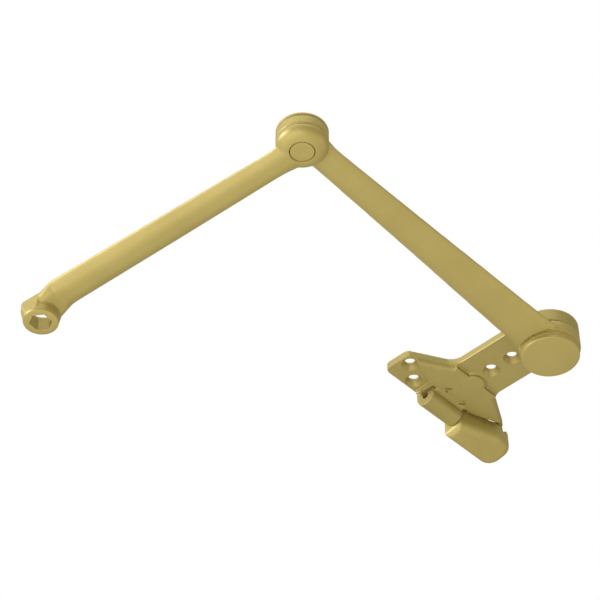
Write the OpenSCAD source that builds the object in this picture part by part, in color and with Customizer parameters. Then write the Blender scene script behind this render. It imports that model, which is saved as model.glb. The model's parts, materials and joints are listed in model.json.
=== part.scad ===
// Parallel-arm set of a door closer, with a soffit shoe that carries a door stop.
// Origin: where the shoe's pivot axis meets the soffit, on the shoe's mounting face.
// +X runs along the shoe's stem towards its cross-bar, +Z points up into the soffit,
// and everything hangs below z = 0.

/* [Arms] */
// Main arm, from the elbow axis to the axis of the hex socket
main_arm_length = 256; // [200:0.1:310]
// Forearm, from the shoe pivot to the elbow axis
forearm_length = 298; // [250:0.1:360]
// Direction of the forearm at rest, turned from +X about the shoe pivot
forearm_angle = 91.8; // [60:0.1:180]
// Direction of the main arm at rest, turned from +X about the elbow
main_arm_angle = 5.6; // [0:0.1:40]

/* [Forearm bar] */
// Width of the bar where it leaves the shoe
forearm_root_w = 36; // [30:0.5:40]
// Width of the bar where it meets the elbow
forearm_tip_w = 22; // [18:0.5:26]
// Thickness of the bar at the shoe end
forearm_root_t = 12; // [10:0.5:13]
// Thickness of the bar at the elbow end
forearm_tip_t = 9; // [7:0.5:10]

/* [Main arm bar] */
// Width of the bar at the elbow end
main_tip_w = 21; // [18:0.5:26]
// Width of the bar at the hub end
main_root_w = 26; // [22:0.5:30]
// Thickness of the bar at the elbow end
main_tip_t = 10; // [8:0.5:11]
// Thickness of the bar at the hub end
main_root_t = 14; // [11:0.5:16]

/* [Hub] */
// Hex socket for the closer's spindle, across its flats
hex_across_flats = 15.875; // [11:0.125:17]
// Diameter of the hub's flat lower face
hub_face_d = 27.7; // [25:0.1:34]
// Diameter of the hub at its widest
hub_d = 34; // [31:0.5:40]
// Height of the hub
hub_height = 17; // [14:0.5:22]
// Radius of the recess for the spindle screw, above the hex socket
screw_recess_r = 12; // [10:0.1:12.5]
// Depth of that recess
screw_recess_depth = 5.5; // [2:0.1:7]
// Height of the collar that stands below the neck
collar_height = 9.5; // [6:0.5:12]
// Drop of the neck from the bar's centre to the hub's lower face
neck_drop = 20.5; // [18:0.5:26]

/* [Shoe plate] */
// Thickness of the plate
plate_t = 6.5; // [5:0.1:7.8]
// Thickness of the shoe at its raised pad
pad_t = 10; // [8:0.1:11.5]
// Thickness of the shoe at its pivot boss
boss_t = 12.5; // [11:0.1:16]
// Radius of the pivot boss and of the shoe's round end
boss_r = 24.8; // [22:0.1:27]
// Half the width of the stem
stem_half_w = 24.8; // [22:0.1:26]
// Half the length of the cross-bar
crossbar_half = 61; // [55:0.5:70]
// Outer edge of the cross-bar, from the pivot
shoe_reach = 122.5; // [116:0.5:130]
// Radius of the round boss on the pad
pad_boss_r = 9.5; // [7:0.5:11]

/* [Screw holes] */
// Radius of each screw hole
screw_hole_r = 4.5; // [3:0.1:5]
// Radius of each countersink at its mouth
countersink_r = 7.3; // [6:0.1:8]
// Distance between the two holes in the stem
stem_hole_pitch = 22; // [18:0.5:24]
// Middle of the stem's two holes, from the pivot
stem_hole_mid = 49; // [46:0.5:52]

/* [Stop] */
// Outside radius of the barrel that holds the stop bolt
barrel_r = 9.2; // [7.5:0.1:9.5]
// Depth of the barrel's axis below the soffit
barrel_depth = 12; // [11:0.1:13]
// Half the length of the barrel
barrel_half = 17; // [14:0.5:20]
// Radius of the stop bolt's shank
bolt_r = 3; // [2.5:0.05:4.5]
// Depth of the stop block's lowest point below the soffit
block_depth = 30; // [27:0.5:34]
// Length of the stop block along the cross-bar
block_length = 58; // [50:0.5:62]

/* [Pivots] */
// Radius of the shoe's pivot stud
stud_r = 8; // [6:0.1:9]
// Radius of the elbow pin
pin_r = 7; // [5:0.1:7.5]
// Radius of the elbow's two eyes
elbow_r = 19.5; // [18:0.5:22]
// Wall of the pressed-in bushings
bushing_wall = 2.5; // [1.5:0.1:3]
// Radius of the cap below the shoe pivot
cap_r = 23.4; // [19:0.1:24]
// Height of the cap
cap_height = 3.8; // [3.4:0.1:6]

/* [Fits] */
// Radial clearance of a turning journal
running_gap = 0.05; // [0.01:0.01:0.1]
// Radial clearance of parts that are fixed together
fixed_gap = 0.02; // [0.01:0.01:0.05]
// Gap between faces that turn past each other
face_gap = 0.3; // [0.2:0.05:0.6]

/* [Hidden] */
$fn = 64;
brass_coat = [0.69, 0.62, 0.36];
steel = [0.62, 0.63, 0.65];
bronze = [0.72, 0.55, 0.33];
slop = 0.01; // how far a cut runs past the face it opens
through = 40; // long enough to cut through any part of the set

// Elbow, in plan
elbow_x = forearm_length * cos(forearm_angle);
elbow_y = forearm_length * sin(forearm_angle);

// Shoe pivot: levels from the boss downwards
boss_z = -boss_t;
eye_top_z = boss_z - face_gap;
eye_t = 10;
eye_bottom_z = eye_top_z - eye_t;
ring_t = 3.3;
ring_bottom_z = eye_bottom_z - ring_t;
cap_top_z = ring_bottom_z - face_gap;
cap_bottom_z = cap_top_z - cap_height;
cap_wall = 1.2;
washer_t = 1.5;
wave_gap = 0.4;
thrust_washer_w = 8.5;
thrust_washer_r = stud_r + thrust_washer_w;
bushing_r = stud_r + bushing_wall;
thread_r = stud_r - 1;
wave_space = 1.9; // room for the spring washer between the eye and the nut
nut_top_z = eye_bottom_z - wave_space;
nut_bottom_z = cap_bottom_z + cap_wall + face_gap;
nut_t = nut_top_z - nut_bottom_z;
nut_flange_w = 6.2;
nut_flange_r = thread_r + nut_flange_w;
nut_flange_t = 1.6;
nut_hex_step = 0.5;
cap_bore_w = 1.6; // room round the nut's flange inside the cap
stud_head_w = 4;
stud_head_r = stud_r + stud_head_w;
stud_head_t = 3;
stud_sink = 0.2;

// Forearm bar, hung just under the boss, and the elbow's levels
bar_drop = 0.5;
forearm_mid_z = eye_top_z - forearm_root_t / 2 - bar_drop;
elbow_eye_t = 9;
elbow_rise = 3.5; // from the bar's centre up to the top of the elbow eye
elbow_eye_top_z = forearm_mid_z + elbow_rise;
elbow_eye_bottom_z = elbow_eye_top_z - elbow_eye_t;
main_eye_top_z = elbow_eye_bottom_z - face_gap;
main_eye_t = 9.9;
main_eye_bottom_z = main_eye_top_z - main_eye_t;
elbow_cap_t = 2.5;
elbow_cap_bottom_z = elbow_eye_top_z + face_gap;
elbow_cap_top_z = elbow_cap_bottom_z + elbow_cap_t;
pin_head_w = 2;
pin_head_r = pin_r + pin_head_w;
pin_head_t = 3;
pin_groove = 0.5;
pin_tenon_step = 2;
pin_tenon_r = pin_r - pin_tenon_step;
pin_tenon_h = 1.6;
elbow_bushing_r = pin_r + bushing_wall;
elbow_washer_w = 3;
elbow_washer_r = elbow_bushing_r + elbow_washer_w;
elbow_seat_depth = 2; // pocket in the upper eye for the spring washer

// Main arm bar, low enough to fold under the forearm
fold_gap = 0.2;
main_bar_top_z = forearm_mid_z - forearm_root_t / 2 - face_gap - fold_gap;
main_tip_z = main_bar_top_z - main_tip_t / 2;
main_root_z = main_bar_top_z - main_root_t / 2;
bend_run = 18.5; // from the hub's axis back to the bend of the neck
hub_bottom_z = main_root_z - neck_drop;
hub_top_z = hub_bottom_z + hub_height;
hub_half_w = 14;
neck_half_t = 5;

// Shoe: plan of the stem, the flare and the cross-bar
flare_x = 78;
flare_end_x = 98;
outline_fillet = 12;
corner_r = 3.5;
pad_face_x = 76;
recess_foot = [104, 26];
barrel_overhang = 2;
barrel_x = shoe_reach + barrel_overhang - barrel_r;
rib_t = 1.6;
rib_drop = 3;
rib_bottom_z = -plate_t - rib_drop;
rib_pocket = 6.4; // from the end of the barrel's middle part to the middle of the rib
barrel_lead = 2.6; // how much longer the barrel is towards its open end
rib_y = barrel_half + rib_pocket;
rib_root = 3; // how far the rib runs back into the pad
end_hole_near = [114.3, 34.8];
end_hole_far = [103.6, 51.4];
countersink_half_angle = 41;
countersink_h = (countersink_r - screw_hole_r) / tan(countersink_half_angle);
lock_screw_t = 4;
bolt_hole_r = bolt_r + running_gap;

// Stop block
block_gap = 0.2;
block_start = -(barrel_half + block_gap);
block_end = block_start - block_length;
block_overhang = 2.5;
block_outer_x = barrel_x + barrel_r + block_overhang;
block_heel_x = recess_foot[0] - 3;
block_toe_x = recess_foot[0] + 5;
end_notch_w = 5; // notch across the block's top, past the end of the plate
end_notch_h = 3.5;
block_waist = 20; // where the block's back begins to lean in, from its end
block_shoulder_z = -20;
bolt_head_w = 2.5;
bolt_head_r = bolt_r + bolt_head_w;
bolt_head_h = 6;
bolt_head_depth = 10;
bolt_head_y = block_end + bolt_head_depth;
bolt_tip_inset = 8;
bolt_tip_y = barrel_half - bolt_tip_inset;
bolt_hex = 5;
lock_hex = 4;

// Points of one rounded corner: a is the corner, p and n are its neighbours
function unit(v) = v / norm(v);
function arc_corner(p, a, n, r, steps = 6) =
  let (u = unit(p - a), w = unit(n - a),
       half = acos(u * w) / 2,
       c = a + unit(u + w) * r / sin(half),
       s = a + u * r / tan(half) - c,
       turn = sign(s[0] * (w - u)[1] - s[1] * (w - u)[0]) * (180 - 2 * half))
  [for (i = [0:steps]) let (t = turn * i / steps)
    c + [s[0] * cos(t) - s[1] * sin(t), s[0] * sin(t) + s[1] * cos(t)]];
// An outline of [x, y, radius] rows, with every corner of radius over 0 made round
function rounded(rows) = let (n = len(rows)) [for (i = [0:n - 1])
  let (a = rows[i], p = rows[(i + n - 1) % n], q = rows[(i + 1) % n])
  each a[2] == 0 ? [[a[0], a[1]]]
                 : arc_corner([p[0], p[1]], [a[0], a[1]], [q[0], q[1]], a[2])];
// One half of an outline, and the same rows mirrored in the stem's centreline
function both_sides(rows) =
  concat(rows, [for (i = [len(rows) - 1:-1:0]) [rows[i][0], -rows[i][1], rows[i][2]]]);

module slab(points, top, bottom) {
  translate([0, 0, bottom]) linear_extrude(top - bottom) polygon(points);
}

module disc(r, top, bottom) {
  translate([0, 0, bottom]) cylinder(r = r, h = top - bottom);
}

// A countersunk screw hole that opens downwards, through a plate whose lower face is at face_z
module screw_hole(at, face_z) {
  translate([at[0], at[1], face_z - slop])
    cylinder(r1 = countersink_r, r2 = screw_hole_r, h = countersink_h + slop);
  translate([at[0], at[1], face_z - slop]) cylinder(r = screw_hole_r, h = through);
  translate([at[0], at[1], face_z - through]) cylinder(r = countersink_r, h = through);
}

// A cone-shaped spring washer, flat at both rims
module wave_washer(inner, outer, top, bottom) {
  thick = 0.8;
  rotate_extrude() polygon([
    [inner, top], [inner, top - thick], [outer, bottom], [outer, bottom + thick]
  ]);
}

// A ring with small chamfers at its outer rims
module ring(inner, outer, top, bottom, chamfer = 0.3) {
  rotate_extrude() polygon([
    [inner, bottom], [outer - chamfer, bottom], [outer, bottom + chamfer],
    [outer, top - chamfer], [outer - chamfer, top], [inner, top]
  ]);
}

// One thin oval slice of a bar: width along Y, thickness along Z
module bar_slice(x, z, w, t) {
  slice = 0.1;
  translate([x, 0, z]) rotate([0, 90, 0]) linear_extrude(slice, center = true)
    scale([t / w, 1]) circle(d = w, $fn = 32);
}

module at_shoe_pivot() { rotate(forearm_angle) children(); }
module at_elbow() { translate([elbow_x, elbow_y, 0]) rotate(main_arm_angle) children(); }

// Cast soffit shoe: stem, cross-bar, pad, bolt barrel and two end lugs
module shoe_plate() {
  pad_boss_inset = 5;
  pad_boss_rise = 0.4;
  pad_corner = [flare_end_x - 4, crossbar_half - 6];
  bore_half = rib_y + rib_t;
  stem = both_sides([
    [0, stem_half_w, 0], [flare_x, stem_half_w, outline_fillet],
    [flare_end_x, crossbar_half, corner_r], [shoe_reach, crossbar_half, corner_r]
  ]);
  pad = both_sides([
    [pad_face_x, stem_half_w, 0],
    [flare_x, stem_half_w, outline_fillet],
    [pad_corner[0], pad_corner[1], 0], [recess_foot[0], recess_foot[1], 0],
    [recess_foot[0], barrel_half, 0], [shoe_reach, barrel_half, 0]
  ]);
  color(brass_coat) difference() {
    union() {
      slab(rounded(stem), 0, -plate_t);
      ring(0, boss_r, 0, boss_z, chamfer = 0.8);
      intersection() {
        slab(rounded(stem), 0, -pad_t);
        slab(rounded(pad), 0, -pad_t);
      }
      translate([pad_face_x + pad_boss_inset, 0, 0])
        ring(0, pad_boss_r, 0, -pad_t - pad_boss_rise, chamfer = 0.5);
      translate([barrel_x, barrel_half + barrel_lead, -barrel_depth])
        rotate([90, 0, 0]) cylinder(r = barrel_r, h = barrel_half * 2 + barrel_lead);
      translate([barrel_x - barrel_r, -barrel_half, -barrel_depth])
        cube([barrel_r * 2, barrel_half * 2 + barrel_lead, barrel_depth]);
      for (side = [-1, 1])
        translate([recess_foot[0] - rib_root, side * rib_y - rib_t / 2, rib_bottom_z])
          cube([shoe_reach - recess_foot[0] + rib_root - 1, rib_t, -rib_bottom_z]);
    }
    for (i = [-1, 1]) screw_hole([stem_hole_mid + i * stem_hole_pitch / 2, 0], -plate_t);
    for (side = [-1, 1], at = [end_hole_near, end_hole_far])
      screw_hole([at[0], side * at[1]], -plate_t);
    translate([barrel_x, bore_half, -barrel_depth])
      rotate([90, 0, 0]) cylinder(r = bolt_hole_r, h = bore_half * 2);
    disc(stud_r + fixed_gap, slop, boss_z - slop);
    disc(stud_head_r + fixed_gap, slop, -stud_sink - stud_head_t);
  }
}

// Stop block that hangs from one end of the cross-bar, keyed over its rib
module stop_block() {
  nose_r = 13;
  heel_r = 9;
  back_r = 4;
  keel_r = 6;
  edge_r = 1;
  lean = 6;
  back_x = 90;
  plan = [
    [block_toe_x, block_start, edge_r], [block_outer_x, block_start, edge_r],
    [block_outer_x, block_end, nose_r], [block_heel_x, block_end, heel_r],
    [block_heel_x - 3, block_end + block_waist, back_r]
  ];
  side = [
    [back_x, -plate_t, 0], [block_outer_x + back_r, -plate_t, 0],
    [block_outer_x + back_r, block_shoulder_z, 0],
    [block_outer_x, block_shoulder_z, 0], [block_outer_x - 1, -block_depth, keel_r],
    [back_x, -block_depth + lean, 0]
  ];
  color(brass_coat) difference() {
    intersection() {
      slab(rounded(plan), -plate_t, -block_depth);
      translate([0, block_start + 1, 0]) rotate([90, 0, 0])
        linear_extrude(block_length + 2) polygon(rounded(side));
    }
    translate([barrel_x - through / 2, -rib_y - rib_t / 2 - face_gap, rib_bottom_z - face_gap])
      cube([through, rib_t + 2 * face_gap, plate_t]);
    translate([barrel_x - through / 2, -crossbar_half - end_notch_w, -plate_t - end_notch_h])
      cube([through, end_notch_w, plate_t + end_notch_h]);
    translate([barrel_x, block_start + 1, -barrel_depth])
      rotate([90, 0, 0]) cylinder(r = bolt_hole_r, h = block_length + 2);
    translate([barrel_x, bolt_head_y, -barrel_depth])
      rotate([90, 0, 0]) cylinder(r = bolt_head_r + face_gap, h = block_length);
  }
}

// Socket head bolt that runs through the block into the barrel
module stop_bolt() {
  seat_y = bolt_head_y - washer_t;
  socket_depth = 3.5;
  color(steel) translate([barrel_x, 0, -barrel_depth]) rotate([90, 0, 0]) difference() {
    union() {
      translate([0, 0, -bolt_tip_y]) cylinder(r = bolt_r, h = bolt_tip_y - seat_y);
      translate([0, 0, -seat_y]) cylinder(r = bolt_head_r, h = bolt_head_h);
    }
    translate([0, 0, -seat_y + bolt_head_h - socket_depth])
      cylinder(d = bolt_hex / cos(30), h = socket_depth + 1, $fn = 6);
  }
}

// Split washer under the bolt's head
module stop_lock_washer() {
  split = 1.2;
  color(steel) translate([barrel_x, bolt_head_y, -barrel_depth]) rotate([90, 0, 0])
    difference() {
      cylinder(r = bolt_head_r - face_gap, h = washer_t);
      translate([0, 0, -1]) cylinder(r = bolt_hole_r, h = washer_t + 2);
      translate([0, -split / 2, -1]) cube([bolt_head_r + 1, split, washer_t + 2]);
    }
}

// Grub screw that locks the bolt from the barrel's open end
module stop_lock_screw() {
  socket_depth = 3;
  color(steel) translate([barrel_x, bolt_tip_y + block_gap, -barrel_depth])
    rotate([-90, 0, 0]) difference() {
      cylinder(r = bolt_r, h = lock_screw_t);
      translate([0, 0, lock_screw_t - socket_depth])
        cylinder(d = lock_hex / cos(30), h = socket_depth + 1, $fn = 6);
    }
}

// Shouldered stud that is pressed into the shoe from its mounting face
module pivot_stud() {
  shoulder_z = eye_bottom_z - face_gap;
  lead_in = 0.4;
  color(steel) rotate_extrude() polygon([
    [0, -stud_sink], [stud_head_r, -stud_sink], [stud_head_r, -stud_sink - stud_head_t],
    [stud_r, -stud_sink - stud_head_t], [stud_r, shoulder_z], [thread_r, shoulder_z],
    [thread_r, nut_bottom_z + lead_in], [thread_r - lead_in, nut_bottom_z], [0, nut_bottom_z]
  ]);
}

// Bearing washer between the boss and the forearm's eye
module pivot_thrust_washer() {
  color(bronze) ring(stud_r + running_gap, thrust_washer_r, boss_z, boss_z - washer_t);
}

// Spring washer that takes up the play of the pivot
module pivot_wave_washer() {
  color(steel)
    wave_washer(stud_r + wave_gap, nut_flange_r - 1, eye_bottom_z - face_gap, nut_top_z);
}

// Flanged hexagon nut that holds the forearm on its stud
module pivot_lock_nut() {
  color(steel) difference() {
    union() {
      disc(nut_flange_r, nut_top_z, nut_top_z - nut_flange_t);
      translate([0, 0, nut_bottom_z])
        cylinder(r = nut_flange_r - nut_hex_step, h = nut_t, $fn = 6);
    }
    disc(thread_r + fixed_gap, nut_top_z + 1, nut_bottom_z - 1);
  }
}

// Domed cover that hides the nut
module pivot_cap() {
  inner_r = nut_flange_r + cap_bore_w;
  rim = 1.2;
  color(brass_coat) difference() {
    rotate_extrude() polygon([
      [0, cap_bottom_z], [cap_r - rim, cap_bottom_z], [cap_r, cap_bottom_z + rim],
      [cap_r, cap_top_z], [0, cap_top_z]
    ]);
    disc(inner_r, cap_top_z + 1, cap_bottom_z + cap_wall);
  }
}

// Wire ring that grips the nut's flange inside the cap
module pivot_snap_ring() {
  wire_r = 0.7;
  depth = 0.8;
  color(steel) translate([0, 0, cap_top_z - depth]) rotate_extrude()
    translate([nut_flange_r + cap_bore_w - wire_r - running_gap, 0]) circle(r = wire_r);
}

// Forged forearm: spot-faced eye at the shoe, tapered bar, eye at the elbow
module forearm() {
  spot_r = cap_r + 1.8;
  bar_start = 8;
  tip_step = 0.2;
  color(brass_coat) at_shoe_pivot() difference() {
    union() {
      ring(0, boss_r, eye_top_z, eye_bottom_z, chamfer = 0.5);
      hull() {
        bar_slice(bar_start, forearm_mid_z, forearm_root_w, forearm_root_t);
        bar_slice(forearm_length - bar_start, elbow_eye_bottom_z + elbow_eye_t / 2,
                  forearm_tip_w, forearm_tip_t - tip_step);
      }
      translate([forearm_length, 0, 0])
        ring(0, elbow_r, elbow_eye_top_z, elbow_eye_bottom_z, chamfer = 0.5);
    }
    disc(spot_r, eye_bottom_z, eye_bottom_z - through);
    disc(boss_r + 1.5, eye_top_z + through, eye_top_z);
    disc(bushing_r + fixed_gap, eye_top_z + 1, eye_bottom_z - 1);
    disc(thrust_washer_r + face_gap, eye_top_z + 1, boss_z - washer_t - face_gap);
    translate([forearm_length, 0, 0]) {
      disc(elbow_bushing_r + fixed_gap, elbow_eye_top_z + 1, elbow_eye_bottom_z - 1);
      disc(elbow_washer_r + face_gap, elbow_eye_top_z + 1, elbow_eye_top_z - elbow_seat_depth);
    }
  }
}

// Bronze bushing pressed into the forearm's eye at the shoe
module pivot_bushing() {
  color(bronze) at_shoe_pivot() ring(stud_r + running_gap, bushing_r,
    boss_z - washer_t - face_gap, eye_bottom_z, chamfer = 0.2);
}

// Bearing ring under the forearm's eye
module pivot_ring() {
  color(brass_coat) at_shoe_pivot()
    ring(nut_flange_r + nut_hex_step, cap_r, eye_bottom_z, ring_bottom_z, chamfer = 0.4);
}

// Bronze bushing pressed into the forearm's eye at the elbow
module elbow_bushing() {
  color(bronze) at_shoe_pivot() translate([forearm_length, 0, 0])
    ring(pin_r + running_gap, elbow_bushing_r, elbow_eye_top_z - elbow_seat_depth,
         elbow_eye_bottom_z, chamfer = 0.2);
}

// Forged main arm: domed eye, tapered bar, cranked neck and hex hub
module main_arm() {
  dome_r = pin_head_r + pin_groove;
  rim_t = 3;
  rise = main_eye_t - rim_t;
  bar_start = 6;
  neck_end = 4;
  color(brass_coat) at_elbow() difference() {
    union() {
      rotate_extrude() polygon(concat(
        [[0, main_eye_bottom_z], [dome_r, main_eye_bottom_z]],
        [for (a = [15:15:90]) [dome_r + (elbow_r - dome_r) * sin(a),
                               main_eye_bottom_z + rise * (1 - cos(a))]],
        [[elbow_r, main_eye_top_z], [0, main_eye_top_z]]));
      hull() {
        bar_slice(bar_start, main_tip_z, main_tip_w, main_tip_t - 1);
        bar_slice(main_arm_length - bend_run, main_root_z, main_root_w, main_root_t);
      }
      hull() {
        bar_slice(main_arm_length - bend_run, main_root_z, main_root_w, main_root_t);
        bar_slice(main_arm_length - neck_end, hub_top_z - neck_half_t - 1, hub_half_w * 2,
                  neck_half_t * 2);
      }
      translate([main_arm_length, 0, 0]) {
        disc(hub_face_d / 2, hub_bottom_z + collar_height, hub_bottom_z);
        intersection() {
          ring(0, hub_d / 2, hub_top_z, hub_bottom_z + collar_height - neck_end + 1, chamfer = 1.5);
          translate([-hub_d, -hub_half_w, hub_bottom_z])
            cube([hub_d * 2, hub_half_w * 2, hub_height]);
        }
      }
    }
    disc(pin_r + fixed_gap, main_eye_top_z + 1, main_eye_bottom_z - 1);
    disc(dome_r, main_eye_bottom_z + pin_head_t, main_eye_bottom_z - 1);
    disc(elbow_washer_r + fixed_gap, main_eye_top_z + 1, main_eye_top_z - washer_t);
    disc(elbow_r + 1.5, main_eye_top_z + through, main_eye_top_z);
    translate([main_arm_length, 0, hub_bottom_z - 1]) rotate(30)
      cylinder(d = hex_across_flats / cos(30), h = through, $fn = 6);
    translate([main_arm_length, 0, hub_top_z - screw_recess_depth])
      cylinder(r = screw_recess_r, h = through);
  }
}

// Elbow pin, with a flush head below and a tenon for the cap above
module elbow_pin() {
  shoulder_z = elbow_cap_bottom_z;
  color(brass_coat) at_elbow() rotate_extrude() polygon([
    [0, main_eye_bottom_z], [pin_head_r, main_eye_bottom_z],
    [pin_head_r, main_eye_bottom_z + pin_head_t], [pin_r, main_eye_bottom_z + pin_head_t],
    [pin_r, shoulder_z], [pin_tenon_r, shoulder_z], [pin_tenon_r, shoulder_z + pin_tenon_h],
    [0, shoulder_z + pin_tenon_h]
  ]);
}

// Bearing washer between the elbow's two eyes
module elbow_thrust_washer() {
  color(bronze) at_elbow()
    ring(pin_r + running_gap, elbow_washer_r, main_eye_top_z, main_eye_top_z - washer_t);
}

// Spring washer under the elbow's cap
module elbow_wave_washer() {
  color(steel) at_elbow()
    wave_washer(pin_r + wave_gap, elbow_washer_r - 1, elbow_cap_bottom_z,
                elbow_eye_top_z - elbow_seat_depth + face_gap);
}

// Thin disc that closes the elbow from above
module elbow_cap() {
  color(brass_coat) at_elbow() difference() {
    ring(0, elbow_r, elbow_cap_top_z, elbow_cap_bottom_z, chamfer = 0.6);
    disc(pin_tenon_r + fixed_gap, elbow_cap_bottom_z + pin_tenon_h, elbow_cap_bottom_z - 1);
  }
}

shoe_plate();
stop_block();
stop_bolt();
stop_lock_washer();
stop_lock_screw();
pivot_stud();
pivot_thrust_washer();
pivot_wave_washer();
pivot_lock_nut();
pivot_cap();
pivot_snap_ring();
forearm();
pivot_bushing();
pivot_ring();
elbow_bushing();
main_arm();
elbow_pin();
elbow_thrust_washer();
elbow_wave_washer();
elbow_cap();
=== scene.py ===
import json
import math

import bmesh
import bpy
from mathutils import Matrix, Vector


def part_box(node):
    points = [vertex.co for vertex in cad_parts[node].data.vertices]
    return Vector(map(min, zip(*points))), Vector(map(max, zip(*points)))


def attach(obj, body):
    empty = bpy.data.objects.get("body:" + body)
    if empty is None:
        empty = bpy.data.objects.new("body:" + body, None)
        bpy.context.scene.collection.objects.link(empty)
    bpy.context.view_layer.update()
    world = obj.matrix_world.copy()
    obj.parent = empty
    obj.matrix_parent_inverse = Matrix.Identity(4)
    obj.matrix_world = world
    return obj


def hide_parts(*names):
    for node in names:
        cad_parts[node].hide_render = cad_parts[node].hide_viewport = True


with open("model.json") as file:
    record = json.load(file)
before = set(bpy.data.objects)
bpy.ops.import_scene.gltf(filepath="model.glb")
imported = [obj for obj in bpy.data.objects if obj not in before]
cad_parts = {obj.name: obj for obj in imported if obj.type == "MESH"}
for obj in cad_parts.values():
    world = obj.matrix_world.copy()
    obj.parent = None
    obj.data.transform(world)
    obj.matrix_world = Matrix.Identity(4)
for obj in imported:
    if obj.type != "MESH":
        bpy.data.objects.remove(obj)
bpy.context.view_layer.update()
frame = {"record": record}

# Camera: below the set and in front of it, looking up at the undersides as a fitter does.
# The lens is long, so the two arms keep their true proportions.
eye = Vector((-0.702, 1.025, -1.179))
gaze = Vector((0.4911, -0.5139, 0.7034))
camera_data = bpy.data.cameras.new("camera")
camera_data.lens = 126
camera_data.sensor_width = 36
camera_data.clip_end = 20
camera = bpy.data.objects.new("camera", camera_data)
camera.location = eye
camera.rotation_euler = gaze.to_track_quat("-Z", "Y").to_euler()
bpy.context.scene.collection.objects.link(camera)
bpy.context.scene.camera = camera

# Studio: a broad key low on the camera's left, weaker panels in front, below, on the right and
# above, and a pale floor that throws light back up on the undersides.
subject = Vector((0.11, 0.19, -0.02))
to_left = Vector((0.723, 0.691, 0))
to_camera = Vector((-0.491, 0.514, -0.703))
to_key = Vector((0.487, 0.860, 0.15))
straight_down = Vector((0, 0, -1))


def panel_light(name, offset, width, height, watts, tint):
    """A flat studio panel that stands at an offset from the subject and faces it."""
    data = bpy.data.lights.new(name, "AREA")
    data.shape = "RECTANGLE"
    data.size = width
    data.size_y = height
    data.energy = watts
    data.color = tint
    panel = bpy.data.objects.new(name, data)
    panel.location = subject + offset
    panel.rotation_euler = (-offset).to_track_quat("-Z", "Y").to_euler()
    bpy.context.scene.collection.objects.link(panel)
    return panel


panel_light("key_panel", to_key * 4.5, 2.0, 1.6, 150, (0.98, 0.985, 1.2))
panel_light("front_panel", to_camera * 1.9 + to_left * 0.5, 1.4, 1.4, 10, (1.0, 0.98, 0.93))
panel_light("under_panel", straight_down * 1.3 + to_left * 0.5, 2.0, 2.0, 6.5, (1.0, 0.98, 0.93))
panel_light("right_panel", straight_down * 0.9 - to_left * 1.5, 1.2, 1.2, 3, (1.0, 0.98, 0.93))
panel_light("top_panel", Vector((-0.3, 0.5, 1.7)), 2.2, 2.2, 22, (1.0, 1.0, 1.0))

world = bpy.data.worlds.new("studio_world")
world.use_nodes = True
sky = world.node_tree
sky.nodes.clear()
room_fill = sky.nodes.new("ShaderNodeBackground")
room_fill.inputs["Color"].default_value = (1.0, 0.98, 0.80, 1)
room_fill.inputs["Strength"].default_value = 0.49
white_wall = sky.nodes.new("ShaderNodeBackground")
white_wall.inputs["Color"].default_value = (1.0, 1.0, 1.0, 1)
white_wall.inputs["Strength"].default_value = 1.0
seen_directly = sky.nodes.new("ShaderNodeLightPath")
choose = sky.nodes.new("ShaderNodeMixShader")
sky_out = sky.nodes.new("ShaderNodeOutputWorld")
sky.links.new(seen_directly.outputs["Is Camera Ray"], choose.inputs["Fac"])
sky.links.new(room_fill.outputs["Background"], choose.inputs[1])
sky.links.new(white_wall.outputs["Background"], choose.inputs[2])
sky.links.new(choose.outputs["Shader"], sky_out.inputs["Surface"])
bpy.context.scene.world = world
bpy.context.scene.view_settings.view_transform = "Standard"

floor_mesh = bpy.data.meshes.new("floor")
floor_form = bmesh.new()
bmesh.ops.create_grid(floor_form, x_segments=1, y_segments=1, size=3.0)
bmesh.ops.translate(floor_form, vec=(0.1, 0.2, -1.75), verts=floor_form.verts)
floor_form.to_mesh(floor_mesh)
floor_form.free()
floor = bpy.data.objects.new("floor", floor_mesh)
bpy.context.scene.collection.objects.link(floor)
floor_paint = bpy.data.materials.new("floor_paint")
floor_paint.use_nodes = True
floor_surface = floor_paint.node_tree.nodes["Principled BSDF"]
floor_surface.inputs["Base Color"].default_value = (0.86, 0.86, 0.85, 1)
floor_surface.inputs["Roughness"].default_value = 0.9
floor_mesh.materials.append(floor_paint)

# Elbow pin: the steel rivet that holds the two arms, turned with a flush round head.
# Its head stands in a narrow groove in the main arm's domed eye.
MM = 0.001


def levels(node):
    """Lowest and highest z of a CAD node, in millimetres."""
    low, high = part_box(node)
    return low[2] / MM, high[2] / MM


def centre(node):
    """The plan position of a round CAD node's axis, in millimetres."""
    low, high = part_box(node)
    return Vector(((low[0] + high[0]) / 2 / MM, (low[1] + high[1]) / 2 / MM, 0))


def radius(node):
    """Outside radius of a round CAD node, in millimetres."""
    low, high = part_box(node)
    return (high[0] - low[0]) / 2 / MM


def shown(name, form):
    """Turns a bmesh, still in millimetres, into an object of the scene."""
    bmesh.ops.recalc_face_normals(form, faces=form.faces)
    mesh = bpy.data.meshes.new(name)
    form.to_mesh(mesh)
    form.free()
    made = bpy.data.objects.new(name, mesh)
    bpy.context.scene.collection.objects.link(made)
    return made


def turned(name, profile, at=(0, 0, 0), steps=96):
    """A lathe-turned solid: a closed profile of (radius, z) points spun round a vertical axis."""
    form = bmesh.new()
    rim = [form.verts.new((r, 0, z)) for r, z in profile]
    edges = [form.edges.new((rim[i], rim[i - 1])) for i in range(1, len(rim))]
    if profile[0][0] > 0:
        edges.append(form.edges.new((rim[0], rim[-1])))
    bmesh.ops.spin(form, geom=rim + edges, cent=(0, 0, 0), axis=(0, 0, 1), dvec=(0, 0, 0),
                   angle=math.tau, steps=steps, use_merge=True, use_duplicate=False)
    bmesh.ops.remove_doubles(form, verts=form.verts, dist=0.0001)
    bmesh.ops.translate(form, vec=at, verts=form.verts)
    return shown(name, form)


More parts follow.
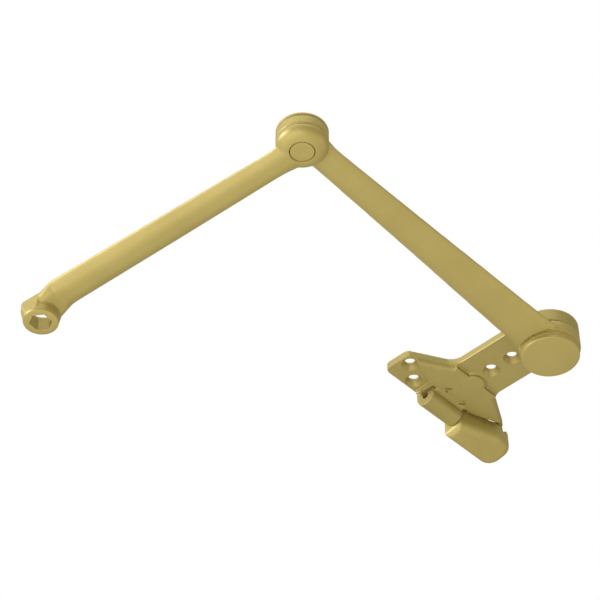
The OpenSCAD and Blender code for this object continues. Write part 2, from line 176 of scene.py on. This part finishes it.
def finished(piece, sharp_degrees=35):
    """Scales a piece from millimetres to metres and shades it smooth up to its sharp edges."""
    piece.data.transform(Matrix.Scale(MM, 4))
    piece.data.shade_smooth()
    piece.data.set_sharp_from_angle(angle=math.radians(sharp_degrees))
    return piece


def brass_coat(name, shade=1.0, shift=0.0):
    """Satin brass-coloured coat: faint cloudy colour, a fine spray texture, uneven gloss."""
    coat = bpy.data.materials.new(name)
    coat.use_nodes = True
    tree = coat.node_tree
    paint = tree.nodes["Principled BSDF"]
    place = tree.nodes.new("ShaderNodeTexCoord")
    moved = tree.nodes.new("ShaderNodeMapping")
    moved.inputs["Location"].default_value = (shift, shift * 0.7, 0)
    tree.links.new(place.outputs["Object"], moved.inputs["Vector"])
    cloud = tree.nodes.new("ShaderNodeTexNoise")
    cloud.inputs["Scale"].default_value = 22
    cloud.inputs["Detail"].default_value = 4
    tree.links.new(moved.outputs["Vector"], cloud.inputs["Vector"])
    colours = tree.nodes.new("ShaderNodeValToRGB")
    colours.color_ramp.elements[0].position = 0.3
    colours.color_ramp.elements[0].color = (0.425 * shade, 0.335 * shade, 0.098 * shade, 1)
    colours.color_ramp.elements[1].position = 0.7
    colours.color_ramp.elements[1].color = (0.470 * shade, 0.375 * shade, 0.118 * shade, 1)
    tree.links.new(cloud.outputs["Fac"], colours.inputs["Fac"])
    tree.links.new(colours.outputs["Color"], paint.inputs["Base Color"])
    paint.inputs["Metallic"].default_value = 0.45
    paint.inputs["Specular IOR Level"].default_value = 0.5
    gloss = tree.nodes.new("ShaderNodeMapRange")
    gloss.inputs["To Min"].default_value = 0.42
    gloss.inputs["To Max"].default_value = 0.54
    tree.links.new(cloud.outputs["Fac"], gloss.inputs["Value"])
    tree.links.new(gloss.outputs["Result"], paint.inputs["Roughness"])
    spray = tree.nodes.new("ShaderNodeTexNoise")
    spray.inputs["Scale"].default_value = 1400
    spray.inputs["Detail"].default_value = 2
    tree.links.new(moved.outputs["Vector"], spray.inputs["Vector"])
    grain = tree.nodes.new("ShaderNodeBump")
    grain.inputs["Strength"].default_value = 0.08
    grain.inputs["Distance"].default_value = 0.0003
    tree.links.new(spray.outputs["Fac"], grain.inputs["Height"])
    tree.links.new(grain.outputs["Normal"], paint.inputs["Normal"])
    return coat


elbow = centre("elbow_cap")
pin_low, pin_high = levels("elbow_pin")
pin_head_r = radius("elbow_pin")
pin_head_t = 3.0
pin_shank_r = pin_head_r - 2
pin_tenon_r = pin_shank_r - 2
pin_tenon_h = 1.6
elbow_pin = turned("elbow_pin_turned", [
    (0, pin_low + 0.15), (pin_head_r * 0.55, pin_low + 0.1), (pin_head_r - 0.7, pin_low),
    (pin_head_r - 0.25, pin_low + 0.08), (pin_head_r, pin_low + 0.4),
    (pin_head_r, pin_low + pin_head_t), (pin_shank_r, pin_low + pin_head_t),
    (pin_shank_r, pin_high - pin_tenon_h), (pin_tenon_r, pin_high - pin_tenon_h),
    (pin_tenon_r, pin_high), (0, pin_high)
], at=elbow)
finished(elbow_pin)
elbow_pin.data.materials.append(brass_coat("pin_coat", shade=0.97, shift=0.4))
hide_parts("elbow_pin")
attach(elbow_pin, "main_arm")

# Elbow cap: the thin turned disc that closes the elbow from above.
# It is pressed on the pin's tenon, its rims are softly broken and a fine line runs round its face.
cap_low, cap_high = levels("elbow_cap")
elbow_r = radius("elbow_cap")
cap_line_r = elbow_r - 4.4
cap_line_half = 0.4
elbow_cap = turned("elbow_cap_turned", [
    (0, cap_low), (elbow_r - 0.5, cap_low), (elbow_r - 0.15, cap_low + 0.15),
    (elbow_r, cap_low + 0.5), (elbow_r, cap_high - 0.7), (elbow_r - 0.2, cap_high - 0.2),
    (elbow_r - 0.7, cap_high), (cap_line_r + cap_line_half, cap_high), (cap_line_r, cap_high - 0.25),
    (cap_line_r - cap_line_half, cap_high), (0, cap_high)
], at=elbow)
finished(elbow_cap)
elbow_cap.data.materials.append(brass_coat("elbow_cap_coat", shift=0.9))
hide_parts("elbow_cap")
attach(elbow_cap, "main_arm")

# Main arm: one forging with a domed eye at the elbow, a tapered oval bar and a short neck
# cranked down to the hub. The hub's collar is turned, and its hex socket is broached.
SIDES = 64


def oval_ring(form, x, z, width, thick, lean=0, crown=3.2):
    """One ring across a bar: crowned faces that meet at its edges; lean tips it forwards."""
    ring = bmesh.ops.create_circle(form, cap_ends=False, segments=SIDES, radius=0.5)["verts"]
    half_step = Matrix.Rotation(math.pi / SIDES, 3, "Z")
    bmesh.ops.rotate(form, verts=ring, cent=(0, 0, 0), matrix=half_step)
    for vert in ring:
        vert.co.x = math.copysign((1 - abs(2 * vert.co.y) ** crown) / 2, vert.co.x)
    place = (Matrix.Translation((x, 0, z)) @ Matrix.Rotation(math.radians(lean), 4, "Y")
             @ Matrix.Rotation(math.pi / 2, 4, "Y") @ Matrix.Diagonal((thick, width, 1, 1)))
    bmesh.ops.transform(form, matrix=place, verts=ring)
    return list({edge for vert in ring for edge in vert.link_edges})


def forged_bar(name, stations):
    """A closed bar through stations of (x, z, width, thickness, lean, crown)."""
    form = bmesh.new()
    rings = [oval_ring(form, *station) for station in stations]
    for near, far in zip(rings, rings[1:]):
        bmesh.ops.bridge_loops(form, edges=near + far)
    bmesh.ops.holes_fill(form, edges=rings[0] + rings[-1], sides=0)
    return shown(name, form)


def baked(piece):
    """Makes a piece's live modifiers part of its mesh."""
    bpy.context.view_layer.update()
    ready = piece.evaluated_get(bpy.context.evaluated_depsgraph_get())
    mesh = bpy.data.meshes.new_from_object(ready)
    piece.modifiers.clear()
    old = piece.data
    piece.data = mesh
    piece.data.materials.clear()
    bpy.data.meshes.remove(old)
    return piece


def combined(piece, others, operation):
    """Joins other solids to a piece, or cuts them out of it, and discards them."""
    for other in others:
        step = piece.modifiers.new("solid", "BOOLEAN")
        step.operation = operation
        step.solver = "MANIFOLD"
        step.object = other
        baked(piece)
        bpy.data.objects.remove(other)
    return piece


def forged(piece, grain, passes):
    """Melts a joined solid into one skin with rounded edges, as a forging die leaves it."""
    skin = piece.modifiers.new("skin", "REMESH")
    skin.mode = "VOXEL"
    skin.voxel_size = grain
    ease = piece.modifiers.new("ease", "SMOOTH")
    ease.factor = 0.5
    ease.iterations = passes
    return baked(piece)


def hexagon(name, across_flats, low, high, at):
    """A six-sided bar for cutting a socket, with two of its flats square to x."""
    form = bmesh.new()
    corner_r = across_flats / math.sqrt(3)
    bmesh.ops.create_cone(form, cap_ends=True, segments=6, radius1=corner_r, radius2=corner_r,
                          depth=high - low)
    middle = at + Vector((0, 0, (low + high) / 2))
    bmesh.ops.translate(form, vec=middle, verts=form.verts)
    return shown(name, form)


def placed(piece, at, angle):
    """Turns a piece about +Z by an angle in degrees, then moves it in plan."""
    piece.data.transform(Matrix.Translation(at) @ Matrix.Rotation(math.radians(angle), 4, "Z"))
    return piece


sockets = {mount["name"]: mount for mount in frame["record"]["mounts"]}
hub = Vector(sockets["spindle_socket"]["pos_m"]) / MM
hub.z = 0
main_length = (hub - elbow).length
main_angle = math.degrees(math.atan2(hub.y - elbow.y, hub.x - elbow.x))
hub_low, eye_high = levels("main_arm")
hub_height = 17
hub_top = hub_low + hub_height
hub_r = 16.4
hub_flat = 13.6
root_r = 14.0
root_high = hub_low + 12
socket_flats = 15.875
hub_heel = 8
screw_recess_r = 12
screw_recess_depth = 5.5
arm_gap = 0.4
bar_top = levels("forearm")[0] - arm_gap
dome_low = pin_low
pin_gap = 0.5
dome_flat_r = pin_head_r + pin_gap
dome_round = 9.8
dome_squash = 0.76
seat_depth = 1.5
main_seat_r = 12.5
facing_over = 1.5
facing_h = 9
fit_gap = 0.02
clear = 2
groove_reach = 3

dome = [(0, dome_low), (elbow_r - dome_round, dome_low)]
for step in range(1, 10):
    turn = math.pi / 2 * step / 9
    dome.append((elbow_r - dome_round * (1 - math.sin(turn)),
                 dome_low + dome_round * dome_squash * (1 - math.cos(turn))))
dome += [(elbow_r, eye_high - 0.5), (elbow_r - 0.5, eye_high), (0, eye_high)]
main_arm = turned("main_arm_forged", dome)

# Stations run from the eye to the hub: x, z, width, thickness, then lean and crown.
bar = forged_bar("main_bar", [
    (6, bar_top - 5.2, 26, 8.6),
    (14, bar_top - 5.2, 25.6, 9.0),
    (19, bar_top - 5.2, 24.4, 9.4),
    (24, bar_top - 5.1, 23.4, 9.8),
    (32, bar_top - 5.1, 23.2, 10.0),
    (main_length * 0.5, bar_top - 6.1, 26.2, 12.2),
    (main_length - 30, bar_top - 7.0, 28.6, 14.0),
    (main_length - 21.8, hub_low + 20.5, 28.8, 14.0, 2, 3.4),
    (main_length - 18.4, hub_low + 19.5, 28.4, 13.3, 15, 4),
    (main_length - 15.5, hub_low + 18.0, 27.8, 12.6, 27, 6),
    (main_length - 6.9, hub_low + 13.0, 2 * hub_flat, 12.4, 30, 10),
    (main_length + 1.1, hub_low + 8.4, 2 * hub_flat, 12.4, 30, 12)
])
hub_head = turned("hub_head", [
    (0, hub_low + 2.5), (13.6, hub_low + 2.5), (14.6, hub_low + 4.5), (hub_r, hub_low + 10.8),
    (hub_r, hub_top - 0.8), (hub_r - 0.8, hub_top), (0, hub_top)
], at=(main_length, 0, 0))
for vert in hub_head.data.vertices:
    vert.co.x = max(main_length - hub_heel, vert.co.x)
    vert.co.y = max(-hub_flat, min(hub_flat, vert.co.y))
hub_root = turned("hub_root", [
    (0, hub_low + 1), (root_r, hub_low + 1), (root_r, root_high), (0, root_high)
], at=(main_length, 0, 0))
for vert in hub_root.data.vertices:
    vert.co.y = max(-hub_flat, min(hub_flat, vert.co.y))
combined(main_arm, [bar, hub_head, hub_root], "UNION")
forged(main_arm, 0.6, 9)
collar = turned("hub_collar", [
    (0, hub_low), (root_r - 0.75, hub_low), (root_r - 0.25, hub_low + 0.2),
    (root_r - 0.05, hub_low + 0.7), (root_r + 0.2, hub_low + 2.6), (root_r - 1, hub_low + 3.8),
    (0, hub_low + 3.8)
], at=(main_length, 0, 0))
combined(main_arm, [collar], "UNION")
groove = turned("pin_groove", [
    (0, dome_low - groove_reach), (dome_flat_r + 0.35, dome_low - groove_reach),
    (dome_flat_r + 0.35, dome_low),
    (dome_flat_r, dome_low + 0.4), (dome_flat_r, dome_low + pin_head_t),
    (pin_shank_r + fit_gap, dome_low + pin_head_t), (pin_shank_r + fit_gap, eye_high + clear),
    (0, eye_high + clear)
])
washer_seat = turned("washer_seat", [
    (0, eye_high - seat_depth), (main_seat_r, eye_high - seat_depth),
    (main_seat_r, eye_high + clear), (0, eye_high + clear)
])
facing = turned("eye_facing", [
    (0, eye_high), (elbow_r + facing_over, eye_high),
    (elbow_r + facing_over, eye_high + facing_h), (0, eye_high + facing_h)
])
cut_high = hub_top + 20
socket = hexagon("socket", socket_flats, hub_low - clear, cut_high, Vector((main_length, 0, 0)))
screw_recess = turned("screw_recess", [
    (0, hub_top - screw_recess_depth), (screw_recess_r, hub_top - screw_recess_depth),
    (screw_recess_r, cut_high), (0, cut_high)
], at=(main_length, 0, 0))
combined(main_arm, [groove, washer_seat, facing, socket, screw_recess], "DIFFERENCE")
placed(main_arm, elbow, main_angle)
finished(main_arm)
main_arm.data.materials.append(brass_coat("main_arm_coat"))
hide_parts("main_arm")
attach(main_arm, "main_arm")

# Forearm: a flatter forging that widens towards the shoe. Its eye there is bored for a bushing
# and spot-faced from below, so the bar ends in a step round the bearing ring and the cap.
pivot = centre("pivot_cap")
shoe_eye_r = 24.8
shoe_bore_r = 10.52
tip_bore_r = 9.52
thrust_seat_r = 16.8
spring_seat_r = 12.8
spring_seat_depth = 2
spot_face_r = 24.6
boss_facing_r = 27
tip_wall = 2.0
fore_low, fore_high = levels("forearm")
ring_low, ring_high = levels("pivot_ring")
bushing_low, bushing_high = levels("elbow_bushing")
fore_length = (elbow - pivot).length
fore_angle = math.degrees(math.atan2(elbow.y - pivot.y, elbow.x - pivot.x))
tip_low = bushing_low
tip_high = bushing_high + tip_wall
tip_mid = (tip_low + tip_high) / 2
bar_mid = fore_low + 6
forearm = turned("forearm_forged", [
    (0, ring_high), (shoe_eye_r - 0.5, ring_high), (shoe_eye_r, ring_high + 0.5),
    (shoe_eye_r, fore_high - 0.5), (shoe_eye_r - 0.5, fore_high), (0, fore_high)
])
tip_eye = turned("tip_eye", [
    (0, tip_low), (elbow_r - 0.5, tip_low), (elbow_r, tip_low + 0.5),
    (elbow_r, tip_high - 0.5), (elbow_r - 0.5, tip_high), (0, tip_high)
], at=(fore_length, 0, 0))
# Stations run from the shoe's eye to the elbow's: x, z, width and thickness.
blade = forged_bar("forearm_bar", [
    (4, bar_mid, 42, 12.0),
    (18, bar_mid, 40, 12.0),
    (25, bar_mid, 38, 12.0),
    (33, bar_mid, 36.8, 12.0),
    (fore_length * 0.5, (bar_mid + tip_mid) / 2, 30, 10.6),
    (fore_length - 32, tip_mid, 24.2, 8.9),
    (fore_length - 24, tip_mid, 24.2, 8.8),
    (fore_length - 18, tip_mid, 26, 8.6),
    (fore_length - 10, tip_mid, 28, 8.4)
])
combined(forearm, [tip_eye, blade], "UNION")
forged(forearm, 0.7, 5)
spot_face = turned("spot_face", [
    (0, ring_high), (spot_face_r, ring_high), (spot_face_r + 1, ring_high - 1),
    (spot_face_r + 2, fore_low - clear), (0, fore_low - clear)
])
shoe_bore = turned("shoe_bore", [
    (0, fore_low - clear), (shoe_bore_r, fore_low - clear),
    (shoe_bore_r, fore_high + clear), (0, fore_high + clear)
])
tip_bore = turned("tip_bore", [
    (0, tip_low - clear), (tip_bore_r, tip_low - clear),
    (tip_bore_r, tip_high + clear), (0, tip_high + clear)
], at=(fore_length, 0, 0))
thrust_seat = turned("thrust_seat", [
    (0, fore_high - seat_depth), (thrust_seat_r, fore_high - seat_depth),
    (thrust_seat_r, fore_high + clear), (0, fore_high + clear)
])
spring_seat = turned("spring_seat", [
    (0, tip_high - spring_seat_depth), (spring_seat_r, tip_high - spring_seat_depth),
    (spring_seat_r, tip_high + clear), (0, tip_high + clear)
], at=(fore_length, 0, 0))
boss_facing = turned("boss_facing", [
    (0, fore_high), (boss_facing_r, fore_high),
    (boss_facing_r, fore_high + facing_h), (0, fore_high + facing_h)
])
combined(forearm, [spot_face, shoe_bore, tip_bore, thrust_seat, spring_seat, boss_facing],
         "DIFFERENCE")
placed(forearm, pivot, fore_angle)
finished(forearm)
forearm.data.materials.append(brass_coat("forearm_coat", shift=1.7))
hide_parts("forearm")
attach(forearm, "forearm")

# Pivot ring: the turned bearing ring under the forearm's eye, which turns with the forearm.
# Two shallow grooves run round its edge.
ring_r = radius("pivot_ring")
ring_inner = 13.7
pivot_ring = turned("pivot_ring_turned", [
    (ring_inner, ring_low), (ring_r - 0.35, ring_low), (ring_r, ring_low + 0.35),
    (ring_r, ring_low + 0.9), (ring_r - 0.3, ring_low + 1.1), (ring_r, ring_low + 1.3),
    (ring_r, ring_low + 2.1), (ring_r - 0.3, ring_low + 2.3), (ring_r, ring_low + 2.5),
    (ring_r, ring_high), (ring_inner, ring_high)
], at=pivot, steps=128)
finished(pivot_ring)
pivot_ring.data.materials.append(brass_coat("pivot_ring_coat", shift=2.2))
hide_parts("pivot_ring")
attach(pivot_ring, "forearm")

# Pivot cap: a pressed cover that snaps over the nut. Its face is flat with a rolled rim,
# and it is hollow above, where the nut and the snap ring sit.
cover_low, cover_high = levels("pivot_cap")
cover_r = radius("pivot_cap")
cover_bore_r = 14.8
cover_wall = 1.2
rim = 1.1
cover = [(0, cover_low)]
for step in range(7):
    turn = math.pi / 2 * step / 6
    cover.append((cover_r - rim * (1 - math.sin(turn)), cover_low + rim * (1 - math.cos(turn))))
cover += [(cover_r, cover_high - 0.3), (cover_r - 0.3, cover_high), (cover_bore_r, cover_high),
          (cover_bore_r, cover_low + cover_wall), (0, cover_low + cover_wall)]
pivot_cap = turned("pivot_cap_turned", cover, at=pivot, steps=128)
finished(pivot_cap)
pivot_cap.data.materials.append(brass_coat("pivot_cap_coat", shade=0.97, shift=2.9))
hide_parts("pivot_cap")
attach(pivot_cap, "shoe")

# Soffit shoe: one casting. A stem with a round end and a raised boss carries the pivot, and a
# flared cross-bar carries a raised pad, the bolt barrel, two ribs and four screw holes.
shoe_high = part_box("shoe_plate")[1]
reach = shoe_high[0] / MM - 2
bar_half = shoe_high[1] / MM
plate_t = 6.5
pad_t = 10
boss_t = 12.5
stem_half = 24.8
barrel_r = 9.2
barrel_half = 17
barrel_at = Vector((shoe_high[0] / MM - barrel_r, 0, -12))
barrel_lead = 2.6
rib_y = barrel_half + 6.4
rib_drop = 3.0
rib_half = 0.8
bolt_hole_r = 3.05
button_x = 81
flare_end = 95
beyond = 140
flange_seat_r = 12.02
flange_seat_depth = 3.2
stud_bore_r = 8.02
screw_r = 4.5
sink_r = 7.5
sink_depth = 3.0
sink_reach = 12
arrow_depth = 1.15
arrow_over = 0.35


def slab(name, rows, low, high, soften=0.0, soft_side=None):
    """A cast slab: an outline of (x, y, easing) rows, its corners rounded, then given height."""
    form = bmesh.new()
    corners = [form.verts.new((x, y, high)) for x, y, ease in rows]
    form.faces.new(corners)
    eased = [(vert, row[2]) for vert, row in zip(corners, rows) if row[2] > 0]
    for vert, ease in eased:
        bmesh.ops.bevel(form, geom=[vert], affect="VERTICES", offset=ease, segments=8,
                        profile=0.5, material=-1)
    made = bmesh.ops.extrude_face_region(form, geom=list(form.faces))["geom"]
    lower = [item for item in made if isinstance(item, bmesh.types.BMVert)]
    bmesh.ops.translate(form, vec=(0, 0, low - high), verts=lower)
    if soften:
        rim_edges = [edge for edge in form.edges
                     if all(vert.co.z < low + 0.01 for vert in edge.verts)
                     and (soft_side is None or soft_side(edge))]
        bmesh.ops.bevel(form, geom=rim_edges, affect="EDGES", offset=soften, segments=5,
                        profile=0.5, material=-1)
    return shown(name, form)


def square_slab(name, start_x, end_x, start_y, end_y, low, high):
    """A slab with four square corners."""
    rows = [(start_x, start_y, 0), (end_x, start_y, 0), (end_x, end_y, 0), (start_x, end_y, 0)]
    return slab(name, rows, low, high)


def mirrored(rows):
    """An outline that is the same on both sides of the stem's centreline."""
    return rows + [(x, -y, ease) for x, y, ease in reversed(rows)]


def rod(name, radius_mm, start, end, steps=64):
    """A round bar between two points, for a barrel or a bore."""
    line = end - start
    form = bmesh.new()
    bmesh.ops.create_cone(form, cap_ends=True, segments=steps, radius1=radius_mm,
                          radius2=radius_mm, depth=line.length)
    turn = line.to_track_quat("Z", "Y").to_matrix().to_4x4()
    place = Matrix.Translation((start + end) / 2)
    bmesh.ops.transform(form, matrix=place @ turn, verts=form.verts)
    return shown(name, form)


def along_flare(edge):
    """True for the pad's edges that run along the flare, where the casting is well rounded."""
    return all(vert.co.x < flare_end and abs(vert.co.y) > stem_half for vert in edge.verts)


shoe = slab("shoe_cast", mirrored([
    (0, stem_half, 0), (78, stem_half, 7), (98, bar_half, 3), (reach, bar_half, 4.5)
]), -plate_t, 0)
boss_wall = [(0, -boss_t), (stem_half - 0.6, -boss_t), (stem_half, -boss_t + 0.6),
             (stem_half, -0.4), (stem_half - 0.4, 0), (0, 0)]
boss = turned("pivot_boss", boss_wall, steps=128)
pad = slab("pad", mirrored([
    (76, stem_half - 0.4, 0), (78, stem_half - 0.4, 7), (94.5, bar_half - 6.5, 0), (104, 26, 0),
    (104, barrel_half, 0), (reach, barrel_half, 0)
]), -pad_t, -plate_t + 1, soften=3.8, soft_side=along_flare)
swell = turned("pad_swell", [
    (0, -pad_t), (10.2, -pad_t), (10.8, -pad_t + 0.6), (11.0, -plate_t - 1.2),
    (11.8, -plate_t - 0.4), (13.4, -plate_t), (13.4, -plate_t + 1), (0, -plate_t + 1)
], at=(button_x, 0, 0))
barrel = rod("barrel", barrel_r, barrel_at + Vector((0, barrel_half + barrel_lead, 0)),
             barrel_at - Vector((0, barrel_half, 0)))
saddle_back = barrel_at.x - barrel_r
saddle_front = barrel_at.x + barrel_r
saddle = slab("saddle", [
    (saddle_back - 2.5, barrel_half, 0), (saddle_back, barrel_half + barrel_lead, 0),
    (saddle_front, barrel_half + barrel_lead, 0), (saddle_front, -barrel_half, 0),
    (saddle_back - 2.5, -barrel_half, 0)
], -pad_t - 0.8, -2)
ribs = [square_slab("rib", 102, reach - 1, side * rib_y - rib_half, side * rib_y + rib_half,
                    -plate_t - rib_drop, -plate_t + 1) for side in (-1, 1)]
combined(shoe, [boss, pad, swell, barrel, saddle] + ribs, "UNION")
forged(shoe, 0.5, 2)
button = turned("pad_button", [
    (0, -pad_t - 0.4), (9.0, -pad_t - 0.4), (9.4, -pad_t), (9.5, -pad_t + 2), (0, -pad_t + 2)
], at=(button_x, 0, 0))
combined(shoe, [button], "UNION")
bolt_reach = Vector((0, rib_y + 2 * rib_half, 0))
cuts = [
    turned("stud_bore", [
        (0, 1), (flange_seat_r, 1), (flange_seat_r, -flange_seat_depth),
        (stud_bore_r, -flange_seat_depth), (stud_bore_r, -boss_t - 1), (0, -boss_t - 1)
    ]),
    rod("bolt_bore", bolt_hole_r, barrel_at + bolt_reach, barrel_at - bolt_reach),
    square_slab("soffit_facing", -30, beyond, -70, 70, 0, 4),
    turned("boss_face", [(0, -boss_t), (26, -boss_t), (26, -boss_t - 3), (0, -boss_t - 3)])
]
screw_places = [(38, 0), (60, 0)]
screw_places += [(x, side * y) for side in (-1, 1) for x, y in ((114.3, 34.8), (103.6, 51.4))]
for x, y in screw_places:
    cuts.append(turned("screw_hole", [
        (0, 1), (screw_r, 1), (screw_r, -plate_t + sink_depth), (sink_r - 0.2, -plate_t),
        (sink_r, -plate_t - 0.2), (sink_r, -plate_t - sink_reach), (0, -plate_t - sink_reach)
    ], at=(x, y, 0), steps=48))


def arrowhead(x, y, heading):
    """A small stamped arrowhead in the pad, which shows which way the stop is handed."""
    form = bmesh.new()
    tip = [form.verts.new(spot) for spot in (
        (3.6, 0, 0), (-2.2, 3.6, 0), (-2.2, 1.5, 0), (0.4, 0, 0), (-2.2, -1.5, 0), (-2.2, -3.6, 0))]
    form.faces.new(tip)
    made = bmesh.ops.extrude_face_region(form, geom=list(form.faces))["geom"]
    top = [item for item in made if isinstance(item, bmesh.types.BMVert)]
    bmesh.ops.translate(form, vec=(0, 0, arrow_depth + arrow_over), verts=top)
    turn = Matrix.Rotation(math.radians(heading), 4, "Z")
    place = Matrix.Translation((x, y, -pad_t - arrow_over))
    bmesh.ops.transform(form, matrix=place @ turn, verts=form.verts)
    return shown("arrowhead", form)


cuts += [arrowhead(98.4, 10.3, 90), arrowhead(100.6, -11.2, -90)]
combined(shoe, cuts, "DIFFERENCE")
finished(shoe)
# The shoe wears the same brass paint darkened to 0.86: painted shade for the shade that the arms and
# caps above throw over the plate.
shoe.data.materials.append(brass_coat("shoe_coat_painted_shade", shade=0.86, shift=3.3))
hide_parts("shoe_plate")
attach(shoe, "shoe")

# Stop block: a cast bumper keyed over one rib and drawn against the barrel by the long bolt.
# Its underside slopes and its lower edges are rounded, so the door arm meets no sharp edge.
block_low, block_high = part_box("stop_block")
block_start = block_high[1] / MM
block_end = block_low[1] / MM
block_outer = block_high[0] / MM
block_depth = block_low[2] / MM
keel_round = 6.0
keel_lean = 0.19
slot_half = 1.1
slot_clear = 0.3
notch_start = -61
notch_end = -66
notch_low = -10
head_bore_r = 5.8
head_bore_depth = 10


def block_level(form, inward, z):
    """The block's plan at one height, drawn in by a distance; returns its closed edge loop."""
    others = set(form.edges)
    rows = [
        (109 + inward, block_start - inward, 1), (block_outer - inward, block_start - inward, 1.5),
        (block_outer - inward, block_end + inward, 12 - inward),
        (101 + inward, block_end + inward, 8 - inward), (98 + inward, block_end + 20, 3)
    ]
    corners = [form.verts.new((x, y, z)) for x, y, ease in rows]
    form.faces.new(corners)
    for vert, row in zip(corners, rows):
        bmesh.ops.bevel(form, geom=[vert], affect="VERTICES", offset=row[2], segments=8,
                        profile=0.5, material=-1)
    bmesh.ops.delete(form, geom=list(form.faces), context="FACES_ONLY")
    return [edge for edge in form.edges if edge not in others]


block_form = bmesh.new()
levels_down = [(0, -plate_t), (0, block_depth + keel_round)]
for step in range(1, 7):
    turn = math.pi / 2 * step / 6
    levels_down.append((keel_round * (1 - math.cos(turn)),
                        block_depth + keel_round * (1 - math.sin(turn))))
loops = [block_level(block_form, inward, z) for inward, z in levels_down]
for vert in block_form.verts:
    if vert.co.z < block_depth + keel_round + 0.01:
        vert.co.z += (block_outer - vert.co.x) * keel_lean
for near, far in zip(loops, loops[1:]):
    bmesh.ops.bridge_loops(block_form, edges=near + far)
bmesh.ops.holes_fill(block_form, edges=loops[0] + loops[-1], sides=0)
stop_block = shown("stop_block_cast", block_form)
forged(stop_block, 0.5, 5)
combined(stop_block, [
    square_slab("rib_slot", 95, beyond, -rib_y - slot_half, -rib_y + slot_half,
                -plate_t - rib_drop - slot_clear, 0),
    square_slab("block_top", 80, beyond, -90, 0, -plate_t, 0),
    square_slab("end_notch", 80, beyond, notch_start, notch_end, notch_low, 0),
    rod("block_bore", bolt_hole_r, barrel_at + Vector((0, block_start + 1, 0)),
        barrel_at + Vector((0, block_end - 1, 0))),
    rod("bolt_head_bore", head_bore_r, barrel_at + Vector((0, block_end + head_bore_depth, 0)),
        barrel_at + Vector((0, block_end - 4, 0)))
], "DIFFERENCE")
finished(stop_block)
stop_block.data.materials.append(brass_coat("stop_block_coat", shade=0.97, shift=4.1))
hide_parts("stop_block")
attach(stop_block, "shoe")

# Steel hardware: the stud, nut, stop bolt, its washer and lock screw, and the spring washers.
# These stay as machined: bright steel with fine turning marks and a little oil staining.


def machined_metal(name, dull, bright, rough_low, rough_high, marks):
    """Machined metal: faint staining in the colour, fine turning marks and uneven polish."""
    metal = bpy.data.materials.new(name)
    metal.use_nodes = True
    tree = metal.node_tree
    surface = tree.nodes["Principled BSDF"]
    surface.inputs["Metallic"].default_value = 1.0
    place = tree.nodes.new("ShaderNodeTexCoord")
    stain = tree.nodes.new("ShaderNodeTexNoise")
    stain.inputs["Scale"].default_value = 90
    stain.inputs["Detail"].default_value = 5
    tree.links.new(place.outputs["Object"], stain.inputs["Vector"])
    colours = tree.nodes.new("ShaderNodeValToRGB")
    colours.color_ramp.elements[0].position = 0.35
    colours.color_ramp.elements[0].color = dull
    colours.color_ramp.elements[1].position = 0.65
    colours.color_ramp.elements[1].color = bright
    tree.links.new(stain.outputs["Fac"], colours.inputs["Fac"])
    tree.links.new(colours.outputs["Color"], surface.inputs["Base Color"])
    polish = tree.nodes.new("ShaderNodeMapRange")
    polish.inputs["To Min"].default_value = rough_low
    polish.inputs["To Max"].default_value = rough_high
    tree.links.new(stain.outputs["Fac"], polish.inputs["Value"])
    tree.links.new(polish.outputs["Result"], surface.inputs["Roughness"])
    turning = tree.nodes.new("ShaderNodeTexWave")
    turning.wave_type = "BANDS"
    turning.bands_direction = "Z"
    turning.inputs["Scale"].default_value = marks
    turning.inputs["Distortion"].default_value = 1.5
    tree.links.new(place.outputs["Object"], turning.inputs["Vector"])
    cut = tree.nodes.new("ShaderNodeBump")
    cut.inputs["Strength"].default_value = 0.12
    cut.inputs["Distance"].default_value = 0.0002
    tree.links.new(turning.outputs["Fac"], cut.inputs["Height"])
    tree.links.new(cut.outputs["Normal"], surface.inputs["Normal"])
    return metal


def refinished(node, metal):
    """Gives a carried-over CAD node its finish."""
    part = bpy.data.objects[node]
    for slot in part.material_slots:
        slot.material = metal
    if not part.material_slots:
        part.data.materials.append(metal)


steel = machined_metal("hardware_steel", dull=(0.30, 0.29, 0.28, 1), bright=(0.46, 0.46, 0.45, 1),
                       rough_low=0.28, rough_high=0.42, marks=900)
for node in ("stop_bolt", "stop_lock_washer", "pivot_stud", "pivot_wave_washer",
             "pivot_lock_nut", "pivot_snap_ring", "elbow_wave_washer"):
    refinished(node, steel)

# Lock screw: the small black-oxide grub screw that shows dark in the barrel's open end.
# It is screwed in from there and locks the stop bolt.
black_steel = machined_metal("black_oxide", dull=(0.03, 0.028, 0.025, 1),
                             bright=(0.06, 0.055, 0.05, 1), rough_low=0.4, rough_high=0.6,
                             marks=700)
refinished("stop_lock_screw", black_steel)

# Bronze bearings: two pressed-in bushings and two thrust washers of sintered bronze, which
# is slightly porous and dull where oil soaks it.
bronze = machined_metal("bearing_bronze", dull=(0.42, 0.25, 0.10, 1), bright=(0.60, 0.38, 0.17, 1),
                        rough_low=0.36, rough_high=0.52, marks=600)
for node in ("pivot_bushing", "elbow_bushing", "pivot_thrust_washer", "elbow_thrust_washer"):
    refinished(node, bronze)
